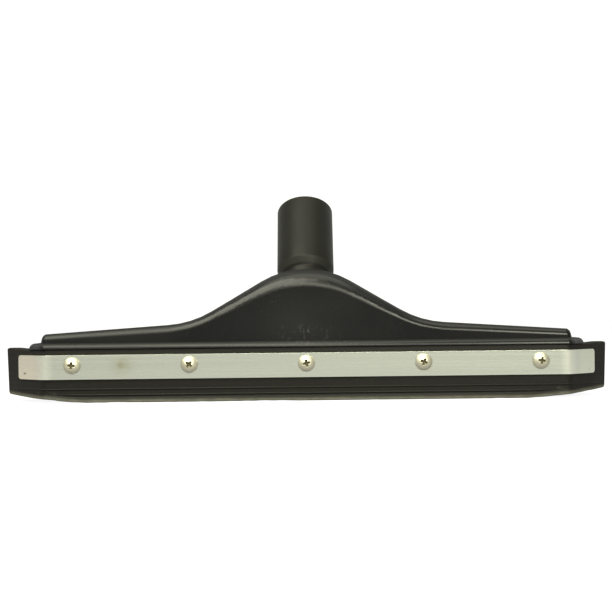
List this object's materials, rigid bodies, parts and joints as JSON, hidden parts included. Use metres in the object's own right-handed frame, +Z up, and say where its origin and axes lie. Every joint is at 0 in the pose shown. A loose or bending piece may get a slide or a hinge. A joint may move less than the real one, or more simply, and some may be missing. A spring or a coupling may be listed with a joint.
{
  "type": "vacuum floor squeegee",
  "caption": "Wet floor squeegee head for a vacuum wand: hollow bell-shaped plastic body with a leaning tube socket, rubber blades front and rear, clamped by screwed metal strips.",
  "frame": {"origin": "on the floor under the middle of the whole object's box", "axes": "+X to the right along the blades, +Y to the rear, where the neck leans, +Z up"},
  "size_m": [0.3774, 0.0809, 0.1288],
  "materials": {
    "body_plastic": "semi-gloss black moulding",
    "neck_plastic": "satin black moulding",
    "blade_rubber": "black rubber",
    "strip_aluminium": "satin, brushed lengthwise",
    "screw_steel": "bright plated"
  },
  "bodies": {
    "root": {"body": "body_plastic", "neck": "neck_plastic", "front_blade": "blade_rubber", "rear_blade": "blade_rubber", "front_strip": "strip_aluminium", "rear_strip": "strip_aluminium", "front_screws": "screw_steel", "rear_screws": "screw_steel"}
  },
  "joints": []
}
